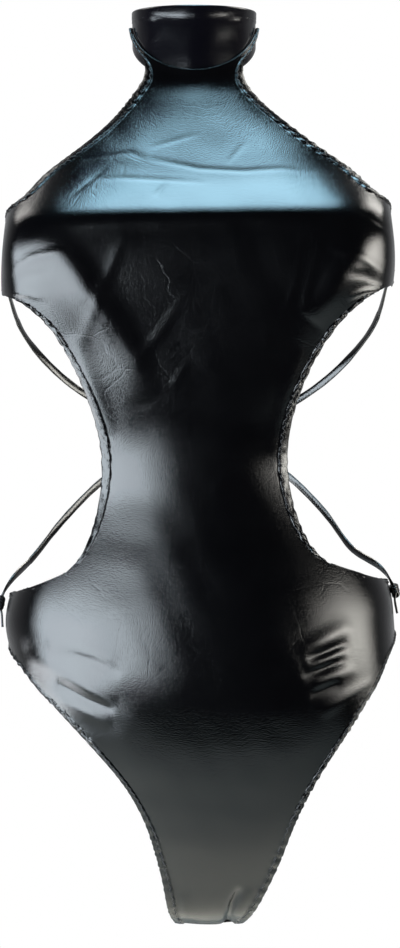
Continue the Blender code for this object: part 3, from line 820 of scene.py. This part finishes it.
# The collar is a strip of the same cloth, doubled and closed into a ring that stands round the neck. It is
# deep in front, where its foot runs inside the panel's neck edge. Its top is turned in and stitched down.
COLLAR_SEED = 51
COLLAR_WALL = 2.0
COLLAR_TOP = 20.0
COLLAR_BACK_EDGE = -7.0
COLLAR_FRONT_DROP = 34.0
COLLAR_FOOT_BLEND = 0.12

# Its hem and stitching, and how unevenly it stands.
COLLAR_HEM = 10.0
COLLAR_HEM_PROUD = 0.6
COLLAR_HEM_ROUND = 1.2
COLLAR_STITCH = 7.8
COLLAR_STITCH_SWING = 0.5
COLLAR_STITCH_DEEP = 0.1
COLLAR_GROOVE = 0.35
COLLAR_GROOVE_WIDE = 0.8
COLLAR_SLACK = 0.15
COLLAR_SLACK_WAVES = (16.0, 90.0, 14)
COLLAR_CALM = 6.0

# How finely its mesh is divided.
COLLAR_SPOKES = 288
COLLAR_LEVELS = 30
COLLAR_INSIDE_LEVELS = 12

turns = np.linspace(0, 2 * math.pi, COLLAR_SPOKES, endpoint=False)
forward = (np.cos(turns) + np.sqrt(np.cos(turns) ** 2 + COLLAR_FOOT_BLEND**2)) / 2
foot = COLLAR_BACK_EDGE - COLLAR_FRONT_DROP * forward
arc = turns * NECK_RADIUS


def collar_ring(share, radius):
    """One ring of the collar: share is 0 at its foot and 1 at its top."""
    height = foot + (COLLAR_TOP - foot) * share
    calm = np.clip((height - foot) / COLLAR_CALM, 0, 1)
    slack = COLLAR_SLACK * uneven(COLLAR_SEED, *COLLAR_SLACK_WAVES, arc, height) * calm
    around = radius + slack
    return np.stack([around * np.sin(turns), -around * np.cos(turns), height], axis=1)


def collar_radius(height):
    """The outer radius at each height: proud where the hem is doubled, pressed in at its stitch line."""
    from_top = COLLAR_TOP - height
    doubled = np.clip((COLLAR_HEM - from_top) / COLLAR_HEM_ROUND, 0, 1)
    proud = COLLAR_HEM_PROUD * doubled * doubled * (3 - 2 * doubled)
    groove = np.exp(-(((from_top - COLLAR_STITCH) / COLLAR_GROOVE_WIDE) ** 2))
    return NECK_RADIUS + proud - COLLAR_GROOVE * groove


outside = []
for share in np.linspace(0, 1, COLLAR_LEVELS):
    ring = collar_ring(share, NECK_RADIUS)
    level = ring[:, 2]
    grow = collar_radius(level) / NECK_RADIUS
    outside.append(np.column_stack([ring[:, :2] * grow[:, None], level]))
crown = []
half_wall = (COLLAR_WALL + COLLAR_HEM_PROUD) / 2
for angle in RIM_ANGLES:
    ring = collar_ring(1.0, NECK_RADIUS + COLLAR_HEM_PROUD - half_wall + half_wall * math.sin(angle))
    crown.append(ring + (0, 0, half_wall * (math.cos(angle) - 1)))
outside[-1][:, 2] -= half_wall
outside[-2][:, 2] -= half_wall / 3
shares_down = np.linspace(1, 0, COLLAR_INSIDE_LEVELS)
inside = [collar_ring(share, NECK_RADIUS - COLLAR_WALL) for share in shares_down]
inside[0][:, 2] -= half_wall
rings = np.array(outside + crown + inside)
collar_faces = ring_faces(len(rings), COLLAR_SPOKES, closed=True)
# The collar is the panel's black cloth, but its base colour is lighter and blue-violet: a painted blue
# sheen of the overhead light.
collar_cloth = leathercloth(
    "collar_leathercloth",
    dark=(0.0010, 0.0009, 0.0018),
    light=(0.0020, 0.0018, 0.0030),
    rough=0.16,
    rough_swing=0.02,
    pebbles={"Cells per metre": 1000.0, "Pitting": 0.3},
    grain_deep=0.00006,
    creases={"Creases per metre": 26.0},
    crease_deep=0.00004,
)
collar = mesh_object("collar_ring", rings.reshape(-1, 3), collar_faces, collar_cloth)
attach(collar, "root")
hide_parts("collar")

# Its zigzag runs round below the turned top.
stitch_count = round(2 * math.pi * NECK_RADIUS / STITCH_LONG)
stitch_turns = np.linspace(0, 2 * math.pi, stitch_count + 1)
stitch_out = np.stack([np.sin(stitch_turns), -np.cos(stitch_turns), np.zeros(stitch_count + 1)], axis=1)
stitch_level = COLLAR_TOP - COLLAR_STITCH + COLLAR_STITCH_SWING * (-1.0) ** np.arange(stitch_count + 1)
stitch_at = stitch_out * (NECK_RADIUS - COLLAR_STITCH_DEEP) + np.outer(stitch_level, (0, 0, 1))
collar_ends = np.stack([stitch_at[:-1], stitch_at[1:]], axis=1)
collar_stitches = threads("collar_hem_stitches", "collar_cloth", collar_ends, stitch_out[:-1])


# Two straps close the open back. Each is a narrow strip of the same cloth, folded double and sewn flat. It
# is sewn in at one bust corner, crosses the back, and is tied at the hip corner of the other side.
STRAP_WIDE = 6.0
STRAP_THICK = 1.6
STRAP_TUCK = 12.0
STRAP_STEPS = 380

# How it goes round the back: points on the way, how square the way is, and how much steeper at its sides.
# The strap from the right is lifted over the other one where they cross.
STRAP_TURNS = 13
STRAP_ROUND = 0.86
STRAP_STEEPER = 0.08
STRAP_LIFT = 2.2
STRAP_CROSSING = 0.35

# How unevenly it lies where it hangs free of its ends.
STRAP_TWIST = math.radians(7)
TWIST_WAVES = (60.0, 190.0, 5)
TWIST_FROM_END = 20
TWIST_FADE = 60
STRAP_SLACK = 0.25
SLACK_WAVES = (14.0, 60.0, 8)
SLACK_WIDE = 0.7
SLACK_THICK = 0.3

# The knot: the strap is drawn together in it, and two turns of the strip lie round it. Each turn has a tilt
# in degrees, a place along the strap, half a width and half a thickness.
KNOT_WIDE = 5.4
KNOT_THICK = 2.6
KNOT_REACH = 6.5
KNOT_LOOPS = (
    (24, -1.2, 5.0, 3.1),
    (-27, 1.4, 4.8, 2.7),
)
KNOT_STRIP = (5.2, 1.5)
LOOP_STEPS = 40

# How far below the hip corner, off the cloth and forward the strap is, at the knot and down its end.
STRAP_CLEAR = 0.45
KNOT_AND_TAIL = ((-4, 0.8, 0), (3, 3.2, 1), (8, 3.2, 2), (14, 1.4, 3), (20, 1.0, 4), (26, 1.4, 5))

# The section of the strip, in shares of half its width and half its thickness: flat, with rounded edges
# and with the sewn groove down its outer face.
STRIP_SECTION = (
    (-1.0, -0.2),
    (-0.97, -0.75),
    (-0.88, -1.0),
    (0.0, -0.95),
    (0.88, -1.0),
    (0.97, -0.75),
    (1.0, -0.2),
    (1.0, 0.3),
    (0.97, 0.75),
    (0.86, 1.0),
    (0.45, 1.0),
    (0.22, 0.88),
    (0.12, 0.45),
    (0.02, 0.45),
    (-0.06, 0.95),
    (-0.5, 1.12),
    (-0.86, 1.05),
    (-0.97, 0.75),
    (-1.0, 0.3),
)

# What the straps go round, at each height: half its width, how far back it reaches, and its middle.
WORN_HALF = ((-460, 153), (-440, 143), (-400, 125), (-350, 118), (-300, 133), (-250, 149), (-206, 157))
WORN_BACK = ((-460, 114), (-400, 100), (-340, 94), (-280, 99), (-206, 104))
WORN_MIDDLE = ((-460, -5), (-350, -10), (-206, -33))


def worn(table, height):
    """A measure of the worn back at a height."""
    return float(natural_spline(*np.array(table, float).T, np.array(height, float)))


def strap_path(side, over):
    """Where a strap runs and which way its outer face looks. side is -1 for the strap from the left."""
    places, facing = [], []
    inside = STRAP_THICK / 2 + 4 * SEAM_GAP
    down = front_line.down_at((BUST_CORNER_TOP + BUST_CORNER_FOOT) / 2)
    edge = front_line.reach_at_turn(down, SIDE_TURN)
    for back_from_edge in (STRAP_TUCK, STRAP_TUCK / 2, 0.0):
        reach = side * (edge - back_from_edge - np.array([0.0, 1.0]))
        place, forward = front_line.places(np.array([down, down]), reach)
        outer = np.array([place[1] - forward[1], forward[0] - place[0], 0.0])
        outer *= side / np.linalg.norm(outer)
        places.append(place - inside * outer)
        facing.append(outer)
    bust = places[-1]
    seam_down = front_line.down_at(HIP_CORNER)

    def hip_edge(down):
        """The point of the front's side edge that is so far down the cloth."""
        reach = -side * front_line.reach_at_turn(down, SIDE_TURN)
        return front_line.places(np.array([down]), np.array([reach]))[0]

    hip = hip_edge(seam_down)
    for share in np.linspace(0, 1, STRAP_TURNS + 2)[1:-1]:
        turn = math.pi * share
        dropped = share + STRAP_STEEPER * math.sin(2 * turn)
        height = bust[2] + (hip[2] - bust[2]) * dropped
        half, deep, middle = (worn(table, height) for table in (WORN_HALF, WORN_BACK, WORN_MIDDLE))
        lift = over * math.exp(-(((turn - math.pi / 2) / STRAP_CROSSING) ** 2))
        round_side = abs(math.cos(turn)) ** STRAP_ROUND * np.sign(math.cos(turn))
        x = float(front_line.value("sway", down)) * (1 - share) + side * half * round_side
        y = middle + (deep - middle + lift) * math.sin(turn) ** STRAP_ROUND
        places.append((x, y, height))
        facing.append((side * math.cos(turn) / half, math.sin(turn) / (deep - middle), 0))
    for below, stand_off, forward in KNOT_AND_TAIL:
        on_hip = hip_edge(front_line.down_at(hip[2] - max(below, 0)))
        clear = HEM_THICK + STRAP_CLEAR + SEAM_GAP + stand_off
        places.append((on_hip[0] - side * clear, on_hip[1] - forward, hip[2] - below))
        facing.append((-side, 0, 0))
    return np.array(places, float), np.array(facing, float)


def swept(path, beside, look, wide, thick, closed):
    """The points and faces of a strip swept along a path, with flat ends unless it closes on itself."""
    section = np.array(STRIP_SECTION)
    rings = path[:, None] + beside[:, None] * (section[:, 0] * wide[:, None] / 2)[..., None]
    rings = rings + look[:, None] * (section[:, 1] * thick[:, None] / 2)[..., None]
    count, size = rings.shape[:2]
    faces = ring_faces(count, size, closed)
    if not closed:
        faces.append(tuple(reversed(range(size))))
        faces.append(tuple((count - 1) * size + j for j in range(size)))
    return rings.reshape(-1, 3), faces


def strap(name, side, over, seed):
    """One strap with its knot, two turns of the strip round it, and its square-cut end."""
    places, facing = strap_path(side, over)
    knots = np.concatenate([[0], np.cumsum(np.linalg.norm(np.diff(places, axis=0), axis=1))])
    at = np.linspace(0, knots[-1], STRAP_STEPS + 1)
    path = np.stack([natural_spline(knots, places[:, k], at) for k in range(3)], axis=1)
    look = np.stack([np.interp(at, knots, facing[:, k]) for k in range(3)], axis=1)
    along = np.gradient(path, axis=0)
    along /= np.linalg.norm(along, axis=1, keepdims=True)
    look -= along * np.sum(look * along, axis=1, keepdims=True)
    look /= np.linalg.norm(look, axis=1, keepdims=True)
    beside = np.cross(along, look)
    knot = knots[-len(KNOT_AND_TAIL) :][1:3].mean()
    from_start = np.clip((at - TWIST_FROM_END) / TWIST_FADE, 0, 1)
    from_knot = np.clip((knot - TWIST_FROM_END - at) / TWIST_FADE, 0, 1)
    twist = (STRAP_TWIST * uneven(seed, *TWIST_WAVES, at) * from_start * from_knot)[:, None]
    turned = look * np.cos(twist) + beside * np.sin(twist)
    beside = beside * np.cos(twist) - look * np.sin(twist)
    look = turned
    pinch = np.exp(-(((at - knot) / KNOT_REACH) ** 4))
    slack = STRAP_SLACK * uneven(seed + 1, *SLACK_WAVES, at) * (1 - pinch)
    wide = STRAP_WIDE + SLACK_WIDE * slack + (KNOT_WIDE - STRAP_WIDE) * pinch
    thick = STRAP_THICK + SLACK_THICK * slack + (KNOT_THICK - STRAP_THICK) * pinch
    parts = [swept(path, beside, look, wide, thick, False)]
    round_it = np.linspace(0, 2 * math.pi, LOOP_STEPS, endpoint=False)
    middle = int(np.searchsorted(at, knot))
    for tilt, shift, half_wide, half_thick in KNOT_LOOPS:
        lean = math.tan(math.radians(tilt))
        centre = path[middle] + along[middle] * shift
        across = half_wide * np.cos(round_it)
        off = half_thick * np.sin(round_it)
        loop = centre + np.outer(across, beside[middle]) + np.outer(off, look[middle])
        loop = loop + np.outer(across * lean, along[middle])
        away = np.outer(np.cos(round_it) / half_wide, beside[middle])
        away = away + np.outer(np.sin(round_it) / half_thick, look[middle])
        away /= np.linalg.norm(away, axis=1, keepdims=True)
        run = np.roll(loop, -1, axis=0) - np.roll(loop, 1, axis=0)
        run /= np.linalg.norm(run, axis=1, keepdims=True)
        strip_wide, strip_thick = np.outer(KNOT_STRIP, np.ones(LOOP_STEPS))
        parts.append(swept(loop, np.cross(run, away), away, strip_wide, strip_thick, True))
    points, faces = [], []
    for part_points, part_faces in parts:
        known = sum(len(p) for p in points)
        points.append(part_points)
        faces.extend(tuple(i + known for i in face) for face in part_faces)
    made = mesh_object(name + "_cloth", np.concatenate(points), faces, panel_cloth)
    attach(made, "root")
    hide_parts(name)


strap("strap_from_left", side=-1, over=0.0, seed=71)
strap("strap_from_right", side=1, over=STRAP_LIFT, seed=81)


# The studio, in metres: a pale matt floor well below the garment, soft lights round it, and a white
# background. The lights overhead are blue, and most others are cool at the left and warm at the right.
FLOOR_HEIGHT = -1.40
FLOOR_SIDE = 1.3
FLOOR_FRONT = -1.0
FLOOR_BACK = 1.8
floor_mesh = bpy.data.meshes.new("floor")
front_corners = [(-FLOOR_SIDE, FLOOR_FRONT, 0), (FLOOR_SIDE, FLOOR_FRONT, 0)]
back_corners = [(FLOOR_SIDE, FLOOR_BACK, 0), (-FLOOR_SIDE, FLOOR_BACK, 0)]
floor_mesh.from_pydata(front_corners + back_corners, [], [(0, 1, 2, 3)])
floor = bpy.data.objects.new("floor", floor_mesh)
floor.location = (0, 0, FLOOR_HEIGHT)
bpy.context.scene.collection.objects.link(floor)
pale = bpy.data.materials.new("pale_floor")
pale.use_nodes = True
matt = {"Base Color": (0.50, 0.49, 0.45, 1), "Roughness": 0.8}
feed(pale.node_tree, pale.node_tree.nodes["Principled BSDF"], matt)
floor_mesh.materials.append(pale)

# Each light: where it is, which place it faces, its width and height, how bright its face is, its colour,
# and how wide it spreads in degrees.
SKY_BLUE = (0.46, 0.80, 1.0)
COOL = (0.82, 0.92, 1.0)
NEUTRAL = (0.90, 0.95, 1.0)
WARM = (1.0, 0.98, 0.91)
LIGHTS = {
    "overhead": ((0.03, -0.13, 1.50), (0.03, -0.13, 0.0), 0.90, 0.70, 16.5, SKY_BLUE, 180),
    "overhead_front": ((0.03, -0.69, 1.50), (0.03, -0.69, 0.0), 0.90, 0.42, 7.0, SKY_BLUE, 180),
    "left_wide": ((-0.954, -0.525, -0.675), (-0.244, 0.115, -0.675), 1.02, 1.17, 13.0, COOL, 150),
    "left_front": ((-0.454, -1.08, -0.515), (0.256, -0.44, -0.515), 0.475, 0.87, 12.0, COOL, 150),
    "left_under": ((-0.85, 0.08, -0.97), (-0.10, 0.0, -0.55), 0.5, 0.5, 9.0, NEUTRAL, 150),
    "left_high": ((-0.78, 0.21, 0.58), (-0.13, 0.0, -0.15), 0.45, 0.5, 5.0, (1.0, 0.98, 0.94), 150),
    "right_bust": ((0.773, -0.613, -0.29), (0.013, -0.303, -0.16), 1.42, 0.46, 15.0, WARM, 70),
    "right_hip": ((0.90, -0.40, -0.54), (0.05, -0.10, -0.54), 0.95, 0.36, 3.2, WARM, 120),
    "right_under": ((0.85, 0.10, -0.95), (0.10, 0.0, -0.55), 0.4, 0.4, 5.0, WARM, 150),
    "right_high": ((0.78, 0.20, 0.56), (0.13, 0.0, -0.15), 0.5, 0.55, 9.0, (1.0, 0.98, 0.92), 150),
    "floor_light": ((0.0, 0.8, 0.2), (0.0, 0.2, -1.40), 0.8, 0.6, 100.0, (1.0, 0.97, 0.88), 50),
}


def point_at(place, target):
    """The turn that makes a light at place look at target."""
    way = np.array(target, float) - np.array(place, float)
    pitch = math.atan2(math.hypot(way[0], way[1]), -way[2])
    return (pitch, 0.0, math.atan2(way[1], way[0]) - math.radians(90))


def soft_light(name, place, target, wide, high, bright, colour, spread):
    """A rectangular soft light, bright being the light that its face gives off straight ahead."""
    half = math.radians(spread) / 2
    light = bpy.data.lights.new(name, "AREA")
    light.shape = "RECTANGLE"
    light.size = wide
    light.size_y = high
    light.energy = bright * math.pi * wide * high * (1 - half / math.tan(half))
    light.color = colour
    light.spread = math.radians(spread)
    lamp = bpy.data.objects.new(name, light)
    lamp.location = place
    lamp.rotation_euler = point_at(place, target)
    bpy.context.scene.collection.objects.link(lamp)


for name, light in LIGHTS.items():
    soft_light(name, *light)

# The background is seen white. The gloss mirrors a room that is nearly dark, and brighter at the back.
world = bpy.data.worlds.new("studio")
bpy.context.scene.world = world
world.use_nodes = True
room = world.node_tree
ways = shader_node(room, "SeparateXYZ", {0: shader_node(room, "TexCoord", {}).outputs["Generated"]})
behind = {"Value": ways.outputs["Y"], "From Min": 0.0, "From Max": 0.8, "To Min": 0.015, "To Max": 0.4}
strength = shader_node(room, "MapRange", behind).outputs["Result"]
mirrored = room.nodes["Background"]
feed(room, mirrored, {"Color": (0.95, 0.97, 1.0, 1), "Strength": strength})
seen = shader_node(room, "Background", {"Color": (1.0, 1.0, 1.0, 1)})
straight = shader_node(room, "LightPath", {}).outputs["Is Camera Ray"]
both = shader_node(room, "MixShader", {"Fac": straight, 1: mirrored.outputs[0], 2: seen.outputs[0]})
feed(room, room.nodes["World Output"], {"Surface": both.outputs[0]})
bpy.context.scene.view_settings.view_transform = "Standard"
